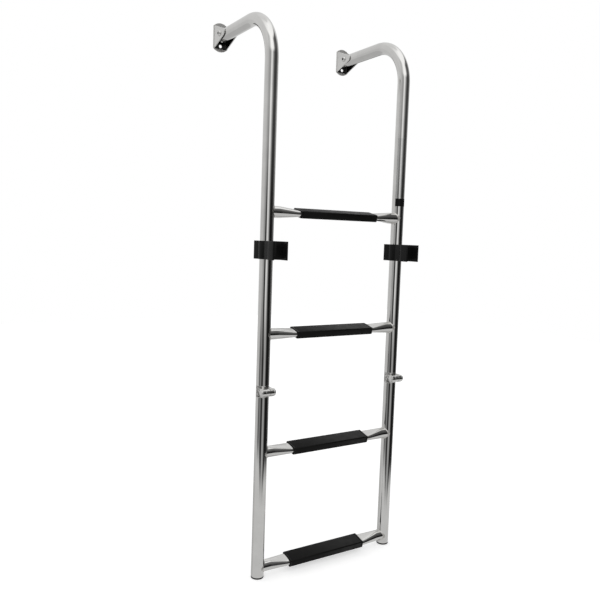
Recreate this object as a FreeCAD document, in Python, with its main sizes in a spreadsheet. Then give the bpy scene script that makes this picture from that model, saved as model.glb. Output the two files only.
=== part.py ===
import FreeCAD, Part
import os

# A folding four-step boarding ladder in stainless tube. Two bent rails hook over
# the gunwale and pivot in brackets screwed to the boat. The lower half folds up.
# Axes: X along the rungs, Y toward the boat, Z up. The origin is on the back
# face of the left bracket, midway between its two screw holes. Millimetres.

doc = FreeCAD.newDocument("boarding_ladder")
sheet = doc.addObject("Spreadsheet::Sheet", "dims")

# Driving dimensions: alias, value, meaning.
DIMENSIONS = [
    ("rail_spacing", "310", "between the two rail axes"),
    ("tube_dia", "25", "outside of the rail tube"),
    ("tube_wall", "1.2", "wall of every tube"),
    ("bolt_to_plate", "29", "pivot bolt axis to the back of the plate"),
    ("hook_reach", "197", "rail axis to pivot bolt axis"),
    ("bend_radius", "87", "centreline radius of the hook bend"),
    ("tube_nose", "16", "tube end beyond the pivot bolt"),
    ("rail_drop", "1068.5", "pivot bolt axis down to the foot"),
    ("foot_flange", "3", "thickness of the foot cap under the tube"),
    ("foot_plug", "18", "foot cap plug inside the tube"),
    ("fold_height", "369.5", "fold line above the foot"),
    ("hinge_offset", "18", "fold pin in front of the rail axis"),
    ("face_gap", "0.3", "between the two stop faces of a fold hinge"),
    ("collar_height", "10.5", "solid collar of a hinge casting"),
    ("spigot_length", "25", "casting spigot inside the tube"),
    ("knuckle_radius", "7.7", "barrel of a hinge knuckle"),
    ("knuckle_half", "12.5", "half width of the hinge barrel"),
    ("tongue_radius", "7.2", "middle knuckle"),
    ("tongue_half", "4.5", "half width of the middle knuckle"),
    ("web_reach", "14", "casting web behind the fold pin"),
    ("side_play", "0.25", "play beside the middle knuckle"),
    ("sweep_play", "1", "clearance round a moving barrel"),
    ("fold_pin_dia", "6", "fold pin shank"),
    ("running_play", "0.05", "radial play of a pin in its hole"),
    ("rung_dia", "22", "round ends of a rung"),
    ("rung_pitch", "229", "between rungs"),
    ("lowest_rung", "19.5", "lowest rung axis above the foot"),
    ("flat_half_width", "14.6", "half width of the pressed part of a rung"),
    ("flat_half_height", "6", "half height of the pressed part of a rung"),
    ("flare_length", "42", "round to flat transition"),
    ("flare_margin", "2", "flat stretch outside the tread"),
    ("tread_tilt", "13", "degrees that the front edge of a tread drops"),
    ("tread_length", "180", "tread sleeve along the rung"),
    ("tread_width", "31.6", "tread sleeve front to back"),
    ("tread_height", "14.4", "tread sleeve top to bottom"),
    ("tread_corner", "4", "corner radius of the tread sleeve"),
    ("plate_width", "32", "base plate of a bracket"),
    ("plate_height", "58", "base plate of a bracket"),
    ("plate_end_radius", "22", "curve of the two plate ends"),
    ("plate_thickness", "2.5", "base plate of a bracket"),
    ("screw_spacing", "35", "between the two screw holes"),
    ("screw_hole_dia", "6.5", "screw hole"),
    ("sink_dia", "10", "countersink at the front of the plate"),
    ("sink_depth", "1.4", "countersink at the front of the plate"),
    ("ear_gap", "26", "between the two ears"),
    ("ear_thickness", "2", "bracket ear"),
    ("ear_root", "46", "height of an ear at the plate"),
    ("ear_nose", "22", "ear tip in front of the pivot bolt"),
    ("ear_tip_radius", "7", "rounding of the ear tip"),
    ("bolt_dia", "6", "pivot bolt shank"),
    ("bolt_head_dia", "12", "button head at its seat"),
    ("bolt_crown_dia", "9", "button head where its slope breaks"),
    ("bolt_top_dia", "4.5", "flat top of the button head"),
    ("bolt_rim", "1.5", "height of the break in the slope"),
    ("bolt_head_height", "3.2", "button head"),
    ("bolt_tail", "7", "bolt past the far ear"),
    ("nut_corner", "5.8", "bracket nut, centre to corner"),
    ("nut_height", "5", "bracket nut"),
    ("pin_head_dia", "12", "fold pin head"),
    ("pin_head_height", "1.5", "fold pin head"),
    ("pin_tail", "2.4", "fold pin past the knuckle"),
    ("cap_nut_dia", "14", "cap nut of the fold pin"),
    ("cap_nut_height", "4", "cap nut of the fold pin"),
    ("cap_nut_crown", "10", "flat end of the cap nut"),
    ("cap_nut_slope", "1.2", "sloped rim of the cap nut"),
    ("clip_height", "34", "clip along the rail"),
    ("clip_level", "635.5", "middle of the clip above the foot"),
    ("clip_wall", "2.5", "clip jaw wall"),
    ("clip_play", "0.3", "front jaw round the folded rail"),
    ("clip_waist", "20", "width between the two jaws"),
    ("clip_mouth", "19", "rear jaw opening at its neck"),
    ("clip_neck", "7", "neck of the rear jaw behind the rail axis"),
    ("clip_flare", "25", "rear jaw opening between the lips"),
    ("clip_lip", "16", "front jaw reach past the folded rail axis"),
    ("clip_tail", "20", "rear jaw reach past the rail axis"),
    ("lip_radius", "1.7", "rounded bead along each lip"),
    ("cut_over", "1", "how far a cutting tool reaches past the surface"),
    ("ear_base", "=bolt_to_plate - plate_thickness + ear_nose - ear_tip_radius",
     "tip centre to the plate"),
    ("ear_slant", "=sqrt(ear_base ^ 2 + (ear_root / 2) ^ 2)", "tip centre to a root corner"),
    ("ear_angle", "=atan(ear_root / 2 / ear_base) + acos(ear_tip_radius / ear_slant)",
     "where the straight flank touches the tip circle"),
    ("ear_tip_half", "=ear_tip_radius * sin(ear_angle)", "half height at that point"),
    ("ear_run", "=ear_base - ear_tip_radius * cos(ear_angle)", "flank length along Y"),
]
for row, (alias, value, note) in enumerate(DIMENSIONS, start=1):
    sheet.set("A%d" % row, note)
    sheet.set("B%d" % row, value)
    sheet.setAlias("B%d" % row, alias)
doc.recompute()

# Expressions used by many pieces.
RAIL_Y = "(-dims.bolt_to_plate - dims.hook_reach)"
BOLT_Y = "(-dims.bolt_to_plate)"
FOOT_Z = "(-dims.rail_drop)"
FOLD_Z = "(dims.fold_height - dims.rail_drop)"
PIN_Y = "(-dims.bolt_to_plate - dims.hook_reach - dims.hinge_offset)"
FOLDED_Y = "(-dims.bolt_to_plate - dims.hook_reach - 2 * dims.hinge_offset)"
TUBE_R = "(dims.tube_dia / 2)"
BORE_R = "(dims.tube_dia / 2 - dims.tube_wall)"
CLIP_Z = "(dims.clip_level - dims.clip_height / 2 - dims.rail_drop)"

STEPS = 4

UP = FreeCAD.Rotation()
ALONG_X = FreeCAD.Rotation(FreeCAD.Vector(0, 1, 0), 90)
ALONG_Y = FreeCAD.Rotation(FreeCAD.Vector(1, 0, 0), -90)
ABOUT_X = FreeCAD.Rotation(FreeCAD.Vector(1, 0, 0), 45)
HOOK_TURN = FreeCAD.Rotation(FreeCAD.Vector(0, 0, 1), FreeCAD.Vector(0, -1, 0),
                             FreeCAD.Vector(1, 0, 0), "ZXY")
Y_TO_X = FreeCAD.Rotation(FreeCAD.Vector(0, 0, 1), -90)


def place(obj, turn, x, y, z):
    obj.Placement = FreeCAD.Placement(FreeCAD.Vector(0, 0, 0), turn)
    obj.setExpression("Placement.Base.x", x)
    obj.setExpression("Placement.Base.y", y)
    obj.setExpression("Placement.Base.z", z)
    return obj


def rod(name, radius, length, turn, x, y, z):
    obj = doc.addObject("Part::Cylinder", name)
    obj.setExpression("Radius", radius)
    obj.setExpression("Height", length)
    return place(obj, turn, x, y, z)


def cone(name, radius_start, radius_end, length, turn, x, y, z):
    obj = doc.addObject("Part::Cone", name)
    obj.setExpression("Radius1", radius_start)
    obj.setExpression("Radius2", radius_end)
    obj.setExpression("Height", length)
    return place(obj, turn, x, y, z)


def block(name, size, x, y, z):
    obj = doc.addObject("Part::Box", name)
    obj.setExpression("Length", size[0])
    obj.setExpression("Width", size[1])
    obj.setExpression("Height", size[2])
    return place(obj, UP, x, y, z)


def fuse(name, pieces):
    obj = doc.addObject("Part::MultiFuse", name)
    obj.Shapes = pieces
    obj.Refine = True
    return obj


def common(name, first, second):
    obj = doc.addObject("Part::MultiCommon", name)
    obj.Shapes = [first, second]
    obj.Refine = True
    return obj


def cut(name, base, tool):
    obj = doc.addObject("Part::Cut", name)
    obj.Base = base
    obj.Tool = tool
    obj.Refine = True
    return obj


# Bent upper rail: a straight leg, a quarter bend and a level arm, hollow inside.
def hooked_tube(name, radius, leg_drop, nose, x):
    leg = rod(name + "_leg", radius, leg_drop + " - dims.bend_radius", UP,
              x, RAIL_Y, "-(" + leg_drop + ")")
    bend = doc.addObject("Part::Torus", name + "_bend")
    bend.setExpression("Radius1", "dims.bend_radius")
    bend.setExpression("Radius2", radius)
    bend.Angle3 = 90
    place(bend, HOOK_TURN, x, RAIL_Y + " + dims.bend_radius", "-dims.bend_radius")
    arm = rod(name + "_arm", radius, "dims.hook_reach - dims.bend_radius + " + nose,
              ALONG_Y, x, RAIL_Y + " + dims.bend_radius", "0")
    return fuse(name, [leg, bend, arm])


def upper_rail(side, x):
    name = side + "_upper_rail"
    drop = "(dims.rail_drop - dims.fold_height - dims.collar_height)"
    outside = hooked_tube(name + "_outside", TUBE_R, drop, "dims.tube_nose", x)
    inside = hooked_tube(name + "_inside", BORE_R, "(" + drop + " + dims.cut_over)",
                         "(dims.tube_nose + dims.cut_over)", x)
    cross = rod(name + "_cross", "dims.bolt_dia / 2 + dims.running_play",
                "dims.tube_dia + 2 * dims.cut_over", ALONG_X,
                x + " - dims.tube_dia / 2 - dims.cut_over", BOLT_Y, "0")
    tube = cut(name + "_tube", outside, inside)
    return cut(name, tube, cross)


def lower_rail(side, x):
    name = side + "_lower_rail"
    length = "dims.fold_height - dims.collar_height - dims.foot_flange"
    outside = rod(name + "_outside", TUBE_R, length, UP, x, RAIL_Y,
                  FOOT_Z + " + dims.foot_flange")
    inside = rod(name + "_inside", BORE_R, length + " + 2 * dims.cut_over", UP, x,
                 RAIL_Y, FOOT_Z + " + dims.foot_flange - dims.cut_over")
    return cut(name, outside, inside)


# Bracket: a plate with curved ends and two screw holes, and two ears for the bolt.
def bracket(side, x):
    name = side + "_bracket"
    slab = block(name + "_slab", ("dims.plate_width", "dims.plate_thickness",
                 "dims.plate_height"), x + " - dims.plate_width / 2",
                 "-dims.plate_thickness", "-dims.plate_height / 2")
    level = "(dims.plate_height / 2 - dims.plate_end_radius)"
    top = rod(name + "_top", "dims.plate_end_radius", "dims.plate_thickness", ALONG_Y,
              x, "-dims.plate_thickness", level)
    bottom = rod(name + "_bottom", "dims.plate_end_radius", "dims.plate_thickness",
                 ALONG_Y, x, "-dims.plate_thickness", "-" + level)
    pieces = [common(name + "_plate", slab, fuse(name + "_ends", [top, bottom]))]
    for tag, edge in (("near", " - dims.ear_gap / 2 - dims.ear_thickness"),
                      ("far", " + dims.ear_gap / 2")):
        tip = rod(name + "_" + tag + "_tip", "dims.ear_tip_radius",
                  "dims.ear_thickness", ALONG_X, x + edge,
                  BOLT_Y + " - dims.ear_nose + dims.ear_tip_radius", "0")
        flank = doc.addObject("Part::Wedge", name + "_" + tag + "_flank")
        flank.Xmin = 0
        flank.X2min = 0
        flank.Ymin = 0
        flank.setExpression("Xmax", "dims.ear_thickness")
        flank.setExpression("X2max", "dims.ear_thickness")
        flank.setExpression("Ymax", "dims.ear_run")
        flank.setExpression("Zmin", "-dims.ear_tip_half")
        flank.setExpression("Zmax", "dims.ear_tip_half")
        flank.setExpression("Z2min", "-dims.ear_root / 2")
        flank.setExpression("Z2max", "dims.ear_root / 2")
        place(flank, UP, x + edge, "-dims.plate_thickness - dims.ear_run", "0")
        pieces.append(tip)
        pieces.append(flank)
    holes = []
    for tag, height in (("upper", "dims.screw_spacing / 2"),
                        ("lower", "-dims.screw_spacing / 2")):
        holes.append(rod(name + "_" + tag + "_hole", "dims.screw_hole_dia / 2",
                         "dims.plate_thickness + 2 * dims.cut_over", ALONG_Y, x,
                         "-dims.plate_thickness - dims.cut_over", height))
        holes.append(cone(name + "_" + tag + "_sink", "dims.sink_dia / 2",
                          "dims.screw_hole_dia / 2", "dims.sink_depth", ALONG_Y, x,
                          "-dims.plate_thickness", height))
    holes.append(rod(name + "_bolt_hole", "dims.bolt_dia / 2",
                     "dims.ear_gap + 2 * dims.ear_thickness + 2 * dims.cut_over", ALONG_X,
                     x + " - dims.ear_gap / 2 - dims.ear_thickness - dims.cut_over",
                     BOLT_Y, "0"))
    return cut(name, fuse(name + "_solid", pieces), fuse(name + "_holes", holes))


# Pivot bolt: a button head on the low X side, shank through tube and ears.
def bracket_bolt(side, x):
    name = side + "_bracket_bolt"
    face = x + " - dims.ear_gap / 2 - dims.ear_thickness"
    crown = cone(name + "_crown", "dims.bolt_top_dia / 2", "dims.bolt_crown_dia / 2",
                 "dims.bolt_head_height - dims.bolt_rim", ALONG_X,
                 face + " - dims.bolt_head_height", BOLT_Y, "0")
    rim = cone(name + "_rim", "dims.bolt_crown_dia / 2", "dims.bolt_head_dia / 2",
               "dims.bolt_rim", ALONG_X, face + " - dims.bolt_rim", BOLT_Y, "0")
    shank = rod(name + "_shank", "dims.bolt_dia / 2",
                "dims.ear_gap + 2 * dims.ear_thickness + dims.bolt_tail",
                ALONG_X, face, BOLT_Y, "0")
    return fuse(name, [crown, rim, shank])


def bracket_nut(side, x):
    name = side + "_bracket_nut"
    face = x + " + dims.ear_gap / 2 + dims.ear_thickness"
    prism = doc.addObject("Part::Prism", name + "_prism")
    prism.Polygon = 6
    prism.setExpression("Circumradius", "dims.nut_corner")
    prism.setExpression("Height", "dims.nut_height")
    place(prism, ALONG_X, face, BOLT_Y, "0")
    bore = rod(name + "_bore", "dims.bolt_dia / 2", "dims.nut_height + 2 * dims.cut_over",
               ALONG_X, face + " - dims.cut_over", BOLT_Y, "0")
    return cut(name, prism, bore)


# Rungs and treads are drawn about their own axis, then lifted to their level and
# tilted about it.
def rung_level(number):
    above = STEPS - number
    return "(dims.lowest_rung + %d * dims.rung_pitch - dims.rail_drop)" % above


def tilt(obj, number):
    place(obj, ABOUT_X, "0", RAIL_Y, rung_level(number))
    obj.setExpression("Placement.Rotation.Angle", "dims.tread_tilt")
    return obj


# The space between the press jaws along one flare. half_low and half_high are its
# half heights at the low X and the high X end.
def jaw_ramp(name, half_width, half_low, half_high, x):
    ramp = doc.addObject("Part::Wedge", name)
    ramp.Ymin = 0
    ramp.setExpression("Ymax", "dims.flare_length")
    for low, high in (("Xmin", "Xmax"), ("X2min", "X2max")):
        ramp.setExpression(low, "-" + half_width)
        ramp.setExpression(high, half_width)
    ramp.setExpression("Zmin", "-" + half_low)
    ramp.setExpression("Zmax", half_low)
    ramp.setExpression("Z2min", "-" + half_high)
    ramp.setExpression("Z2max", half_high)
    return place(ramp, Y_TO_X, x, "0", "0")


# A round bar that swells and is pressed flat between jaws along its middle.
def rung_solid(name, wall):
    flat_length = "(dims.tread_length + 2 * dims.flare_margin)"
    flat_start = "(dims.rail_spacing / 2 - " + flat_length + " / 2)"
    flat_end = "(dims.rail_spacing / 2 + " + flat_length + " / 2)"
    round_length = "(" + flat_start + " - dims.flare_length)"
    round_r = "(dims.rung_dia / 2 - " + wall + ")"
    wide_r = "(dims.flat_half_width - " + wall + ")"
    half_h = "(dims.flat_half_height - " + wall + ")"
    swollen = fuse(name + "_swollen", [
        cone(name + "_low_swell", round_r, wide_r, "dims.flare_length", ALONG_X,
             round_length, "0", "0"),
        rod(name + "_wide", wide_r, flat_length, ALONG_X, flat_start, "0", "0"),
        cone(name + "_high_swell", wide_r, round_r, "dims.flare_length", ALONG_X,
             flat_end, "0", "0"),
    ])
    jaws = fuse(name + "_jaws", [
        jaw_ramp(name + "_low_ramp", wide_r, round_r, half_h, round_length),
        block(name + "_flat", (flat_length, "2 * " + wide_r, "2 * " + half_h),
              flat_start, "-" + wide_r, "-" + half_h),
        jaw_ramp(name + "_high_ramp", wide_r, half_h, round_r, flat_end),
    ])
    return fuse(name, [
        common(name + "_pressed", swollen, jaws),
        rod(name + "_low_end", round_r, round_length, ALONG_X, "0", "0", "0"),
        rod(name + "_high_end", round_r, round_length, ALONG_X,
            flat_end + " + dims.flare_length", "0", "0"),
    ])


# Rung: a hollow tube, round at both rails and pressed flat under the tread.
def rung(number):
    name = "rung_%d" % number
    tube = cut(name + "_tube", rung_solid(name + "_outside", "0"),
               rung_solid(name + "_inside", "dims.tube_wall"))
    tilt(tube, number)
    rails = []
    for tag, x in (("low", "0"), ("high", "dims.rail_spacing")):
        rails.append(rod(name + "_rail_" + tag, TUBE_R, "2 * dims.rung_dia", UP, x, RAIL_Y,
                         rung_level(number) + " - dims.rung_dia"))
    return cut(name, tube, fuse(name + "_rails", rails))


# Tread: a sleeve with rounded corners on the flattened middle of a rung.
def tread(number):
    name = "tread_%d" % number
    start = "(dims.rail_spacing / 2 - dims.tread_length / 2)"
    half_y = "(dims.tread_width / 2 - dims.tread_corner)"
    half_z = "(dims.tread_height / 2 - dims.tread_corner)"
    pieces = [
        block(name + "_wide", ("dims.tread_length", "dims.tread_width", "2 * " + half_z),
              start, "-dims.tread_width / 2", "-" + half_z),
        block(name + "_tall", ("dims.tread_length", "2 * " + half_y, "dims.tread_height"),
              start, "-" + half_y, "-dims.tread_height / 2"),
    ]
    for tag, y_sign, z_sign in (("a", "-", "-"), ("b", "-", ""), ("c", "", "-"), ("d", "", "")):
        pieces.append(rod(name + "_corner_" + tag, "dims.tread_corner",
                          "dims.tread_length", ALONG_X, start, y_sign + half_y,
                          z_sign + half_z))
    over = "(dims.tread_length + 2 * dims.cut_over)"
    low = start + " - dims.cut_over"
    hole = common(
        name + "_hole",
        rod(name + "_hole_sides", "dims.flat_half_width", over, ALONG_X, low, "0", "0"),
        block(name + "_hole_flat", (over, "2 * dims.flat_half_width",
              "2 * dims.flat_half_height"), low, "-dims.flat_half_width",
              "-dims.flat_half_height"))
    return tilt(cut(name, fuse(name + "_outside", pieces), hole), number)


# Fold hinge: the upper casting carries two ears, the lower one a middle tongue.
def hinge_body(name, half, radius, x, low, height, web_low, spigot_low):
    collar = rod(name + "_collar", TUBE_R, height, UP, x, RAIL_Y, low)
    spigot = rod(name + "_spigot", BORE_R, "dims.spigot_length", UP, x, RAIL_Y, spigot_low)
    barrel = rod(name + "_barrel", radius, "2 * " + half, ALONG_X,
                 x + " - " + half, PIN_Y, FOLD_Z)
    web = block(name + "_web", ("2 * " + half, "dims.web_reach",
                radius + " - dims.face_gap / 2"), x + " - " + half, PIN_Y,
                web_low)
    return fuse(name + "_blank", [collar, spigot, barrel, web])


def upper_hinge(side, x):
    name = side + "_upper_hinge"
    height = "(dims.collar_height - dims.face_gap / 2)"
    low = FOLD_Z + " + dims.face_gap / 2"
    blank = hinge_body(name, "dims.knuckle_half", "dims.knuckle_radius", x, low, height, low,
                       FOLD_Z + " + dims.collar_height")
    slot = rod(name + "_slot", "dims.tongue_radius + dims.sweep_play",
               "2 * (dims.tongue_half + dims.side_play)", ALONG_X,
               x + " - dims.tongue_half - dims.side_play", PIN_Y, FOLD_Z)
    hole = rod(name + "_pin_hole", "dims.fold_pin_dia / 2",
               "2 * dims.knuckle_half + 2 * dims.cut_over", ALONG_X,
               x + " - dims.knuckle_half - dims.cut_over", PIN_Y, FOLD_Z)
    return cut(name, blank, fuse(name + "_tools", [slot, hole]))


def lower_hinge(side, x):
    name = side + "_lower_hinge"
    height = "(dims.collar_height - dims.face_gap / 2)"
    low = FOLD_Z + " - dims.collar_height"
    blank = hinge_body(name, "dims.tongue_half", "dims.tongue_radius", x, low, height,
                       FOLD_Z + " - dims.tongue_radius",
                       low + " - dims.spigot_length")
    tools = []
    for tag, start in (("near", x + " - dims.tongue_half - dims.knuckle_half"),
                       ("far", x + " + dims.tongue_half")):
        tools.append(rod(name + "_" + tag + "_notch",
                         "dims.knuckle_radius + dims.sweep_play", "dims.knuckle_half",
                         ALONG_X, start, PIN_Y, FOLD_Z))
    tools.append(rod(name + "_pin_hole", "dims.fold_pin_dia / 2 + dims.running_play",
                     "2 * dims.tongue_half + 2 * dims.cut_over", ALONG_X,
                     x + " - dims.tongue_half - dims.cut_over", PIN_Y, FOLD_Z))
    return cut(name, blank, fuse(name + "_tools", tools))


def fold_pin(side, x):
    name = side + "_fold_pin"
    head = rod(name + "_head", "dims.pin_head_dia / 2", "dims.pin_head_height", ALONG_X,
               x + " - dims.knuckle_half - dims.pin_head_height", PIN_Y, FOLD_Z)
    shank = rod(name + "_shank", "dims.fold_pin_dia / 2",
                "2 * dims.knuckle_half + dims.pin_tail", ALONG_X,
                x + " - dims.knuckle_half", PIN_Y, FOLD_Z)
    return fuse(name, [head, shank])


# Round cap nut on the high X end of the fold pin, with a blind bore.
def fold_nut(side, x):
    name = side + "_fold_nut"
    face = x + " + dims.knuckle_half"
    barrel = rod(name + "_barrel", "dims.cap_nut_dia / 2",
                 "dims.cap_nut_height - dims.cap_nut_slope", ALONG_X, face, PIN_Y, FOLD_Z)
    crown = cone(name + "_crown", "dims.cap_nut_dia / 2", "dims.cap_nut_crown / 2",
                 "dims.cap_nut_slope", ALONG_X,
                 face + " + dims.cap_nut_height - dims.cap_nut_slope", PIN_Y, FOLD_Z)
    bore = rod(name + "_bore", "dims.fold_pin_dia / 2", "dims.pin_tail + dims.cut_over",
               ALONG_X, face + " - dims.cut_over", PIN_Y, FOLD_Z)
    return cut(name, fuse(name + "_outside", [barrel, crown]), bore)


# A block along Y whose half width changes from half_start at RAIL_Y + start.
def splayed(name, half_start, half_end, length, height, x, start, z):
    obj = doc.addObject("Part::Wedge", name)
    obj.Ymin = 0
    obj.Zmin = 0
    obj.Z2min = 0
    obj.setExpression("Ymax", length)
    obj.setExpression("Zmax", height)
    obj.setExpression("Z2max", height)
    obj.setExpression("Xmin", "-" + half_start)
    obj.setExpression("Xmax", half_start)
    obj.setExpression("X2min", "-" + half_end)
    obj.setExpression("X2max", half_end)
    return place(obj, UP, x, RAIL_Y + " + " + start, z)


# Clip: one jaw grips the upper rail, the other holds the folded lower rail. The
# rear lips splay outward, and all four lips end in rounded beads.
def clip(side, x):
    name = side + "_clip"
    height = "dims.clip_height"
    front_r = "(" + TUBE_R + " + dims.clip_play)"
    arm_x = "(" + front_r + " + dims.clip_wall)"
    neck_x = "(dims.clip_mouth / 2 + dims.clip_wall)"
    lip_x = "(dims.clip_flare / 2 + dims.clip_wall)"
    lip_run = "(dims.clip_tail - dims.clip_neck)"
    pieces = [
        rod(name + "_rear", TUBE_R + " + dims.clip_wall", height, UP, x, RAIL_Y, CLIP_Z),
        rod(name + "_front", arm_x, height, UP, x, FOLDED_Y, CLIP_Z),
        block(name + "_web", ("dims.clip_waist", "2 * dims.hinge_offset", height),
              x + " - dims.clip_waist / 2", FOLDED_Y, CLIP_Z),
        block(name + "_arms", ("2 * " + arm_x, "dims.clip_lip", height),
              x + " - " + arm_x, FOLDED_Y + " - dims.clip_lip", CLIP_Z),
        splayed(name + "_heel", neck_x, lip_x, lip_run, height, x, "dims.clip_neck",
                CLIP_Z),
    ]
    for tag, sign in (("near", " - "), ("far", " + ")):
        pieces.append(rod(name + "_front_bead_" + tag, "dims.lip_radius", height, UP,
                          x + sign + "(" + front_r + " + dims.clip_wall / 2)",
                          FOLDED_Y + " - dims.clip_lip", CLIP_Z))
        pieces.append(rod(name + "_rear_bead_" + tag, "dims.lip_radius", height, UP,
                          x + sign + "(dims.clip_flare / 2 + dims.clip_wall / 2)",
                          RAIL_Y + " + dims.clip_tail", CLIP_Z))
    over = height + " + 2 * dims.cut_over"
    below = CLIP_Z + " - dims.cut_over"
    tools = [
        rod(name + "_rear_bore", TUBE_R, over, UP, x, RAIL_Y, below),
        rod(name + "_front_bore", front_r, over, UP, x, FOLDED_Y, below),
        block(name + "_front_mouth", ("2 * " + front_r, "2 * dims.clip_lip", over),
              x + " - " + front_r, FOLDED_Y + " - 2 * dims.clip_lip", below),
        block(name + "_rear_neck", ("dims.clip_mouth", "dims.clip_neck", over),
              x + " - dims.clip_mouth / 2", RAIL_Y, below),
        splayed(name + "_rear_mouth", "(dims.clip_mouth / 2)",
                "(dims.clip_flare - dims.clip_mouth / 2)", "(2 * " + lip_run + ")", "(" + over + ")",
                x, "dims.clip_neck", below),
    ]
    return cut(name, fuse(name + "_blank", pieces), fuse(name + "_tools", tools))


def foot_cap(side, x):
    name = side + "_foot_cap"
    flange = rod(name + "_flange", TUBE_R, "dims.foot_flange", UP, x, RAIL_Y, FOOT_Z)
    plug = rod(name + "_plug", BORE_R, "dims.foot_plug", UP, x, RAIL_Y,
               FOOT_Z + " + dims.foot_flange")
    return fuse(name, [flange, plug])


nodes = []
for side, x in (("left", "0"), ("right", "dims.rail_spacing")):
    nodes.append(bracket(side, x))
    nodes.append(bracket_bolt(side, x))
    nodes.append(bracket_nut(side, x))
    nodes.append(upper_rail(side, x))
    nodes.append(clip(side, x))
    nodes.append(upper_hinge(side, x))
    nodes.append(fold_pin(side, x))
    nodes.append(fold_nut(side, x))
    nodes.append(lower_hinge(side, x))
    nodes.append(lower_rail(side, x))
    nodes.append(foot_cap(side, x))
for number in range(1, STEPS + 1):
    nodes.append(rung(number))
    nodes.append(tread(number))

doc.recompute()
for obj in doc.Objects:
    if "Invalid" in obj.State or "Error" in obj.State:
        raise RuntimeError("%s did not build: %s" % (obj.Name, obj.State))
os.makedirs("parts", exist_ok=True)
for node in nodes:
    shape = node.Shape
    if shape.isNull() or not shape.isValid():
        raise RuntimeError("%s has no valid shape" % node.Label)
    if len(shape.Solids) != 1:
        raise RuntimeError("%s has %d solids" % (node.Label, len(shape.Solids)))
    shape.exportStep("parts/" + node.Label + ".step")
    box = shape.BoundBox
    print("%-20s %9.1f mm3  x %.1f %.1f  y %.1f %.1f  z %.1f %.1f" % (
        node.Label, shape.Volume, box.XMin, box.XMax, box.YMin, box.YMax,
        box.ZMin, box.ZMax))
print(len(nodes), "nodes")
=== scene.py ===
import math

import bmesh
import bpy
from mathutils import Matrix, Vector


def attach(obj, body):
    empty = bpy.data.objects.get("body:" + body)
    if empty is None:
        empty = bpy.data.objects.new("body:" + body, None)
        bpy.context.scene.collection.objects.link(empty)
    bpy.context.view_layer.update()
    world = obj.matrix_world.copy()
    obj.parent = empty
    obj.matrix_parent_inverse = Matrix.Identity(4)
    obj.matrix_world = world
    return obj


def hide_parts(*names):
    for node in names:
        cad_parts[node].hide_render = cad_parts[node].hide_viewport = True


# The looks of the folding boarding ladder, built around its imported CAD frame. Lengths
# are written in millimetres, in the row frame, and MM turns them into metres.

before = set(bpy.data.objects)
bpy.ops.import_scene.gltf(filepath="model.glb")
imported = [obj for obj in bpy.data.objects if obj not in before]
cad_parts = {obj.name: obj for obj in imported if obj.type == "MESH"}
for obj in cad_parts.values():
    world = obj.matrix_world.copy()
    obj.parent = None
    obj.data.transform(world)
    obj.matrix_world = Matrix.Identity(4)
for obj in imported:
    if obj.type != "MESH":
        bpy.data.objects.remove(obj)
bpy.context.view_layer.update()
MM = 0.001

# Sizes and places that the CAD source has too.
SPACING = 310.0
RAIL_Y = -226.0
BOLT_Y = -29.0
PIN_Y = -244.0
FOLDED_Y = -262.0
FOLD_Z = -699.0
FOOT_Z = -1068.5
TUBE_R = 12.5
TUBE_WALL = 1.2
BEND_R = 87.0
COLLAR = 10.5
NOSE_Y = -13.0
FOOT_FLANGE = 3.0
RUNG_R = 11.0
FLAT_HALF = 6.0
FLAT_REACH = 14.4
RUNG_LEVELS = {1: -362.0, 2: -591.0, 3: -820.0, 4: -1049.0}
RUNG_BODY = {1: "upper_section", 2: "upper_section", 3: "lower_section", 4: "lower_section"}
TREAD_TILT = math.radians(13.0)
TREAD_START, TREAD_END = 65.0, 245.0
CLIP_Z, CLIP_HEIGHT = -433.0, 34.0
PLATE_THICK = 2.5
SCREW_Z, SCREW_R = 17.5, 3.25
EAR_MIDDLE, EAR_THICK = 14.0, 2.0
EAR_FACE = EAR_MIDDLE + EAR_THICK / 2
BOLT_R = 3.0
KNUCKLE_R, KNUCKLE_HALF = 7.7, 12.5
TONGUE_R, TONGUE_HALF = 7.2, 4.5
SIDES = {"left": 0.0, "right": SPACING}


# ---------------------------------------------------------------- materials
def new_material(name):
    mat = bpy.data.materials.new(name)
    mat.use_nodes = True
    tree = mat.node_tree
    shader = tree.nodes["Principled BSDF"]
    return mat, tree, shader


def node(tree, kind, **values):
    made = tree.nodes.new(kind)
    for key, value in values.items():
        if key in made.inputs:
            made.inputs[key].default_value = value
        else:
            setattr(made, key, value)
    return made


def own_place(tree):
    """The point's place in its own piece, which is its place in the row frame at rest."""
    return node(tree, "ShaderNodeTexCoord").outputs["Object"]


def noise(tree, scale, detail=3.0, stretch=(1, 1, 1)):
    """Noise from 0 to 1 that moves with the piece."""
    mapping = node(tree, "ShaderNodeMapping")
    mapping.inputs["Scale"].default_value = stretch
    tree.links.new(own_place(tree), mapping.inputs["Vector"])
    made = node(tree, "ShaderNodeTexNoise", Scale=scale, Detail=detail)
    tree.links.new(mapping.outputs["Vector"], made.inputs["Vector"])
    return made.outputs["Fac"]


def ramp(tree, source, stops):
    """Turns a value into a colour by (place, grey or colour) stops."""
    made = node(tree, "ShaderNodeValToRGB")
    band = made.color_ramp
    while len(band.elements) < len(stops):
        band.elements.new(0.5)
    for element, (place, value) in zip(band.elements, stops):
        element.position = place
        colour = value if isinstance(value, tuple) else (value, value, value)
        element.color = (*colour, 1.0)
    tree.links.new(source, made.inputs["Fac"])
    return made.outputs["Color"]


def bump(tree, shader, height, strength, distance):
    """Small relief from a value, with its distance in millimetres."""
    made = node(tree, "ShaderNodeBump", Strength=strength, Distance=distance * MM)
    tree.links.new(height, made.inputs["Height"])
    tree.links.new(made.outputs["Normal"], shader.inputs["Normal"])


def split_xyz(tree, vector):
    made = node(tree, "ShaderNodeSeparateXYZ")
    tree.links.new(vector, made.inputs["Vector"])
    return made.outputs


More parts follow.
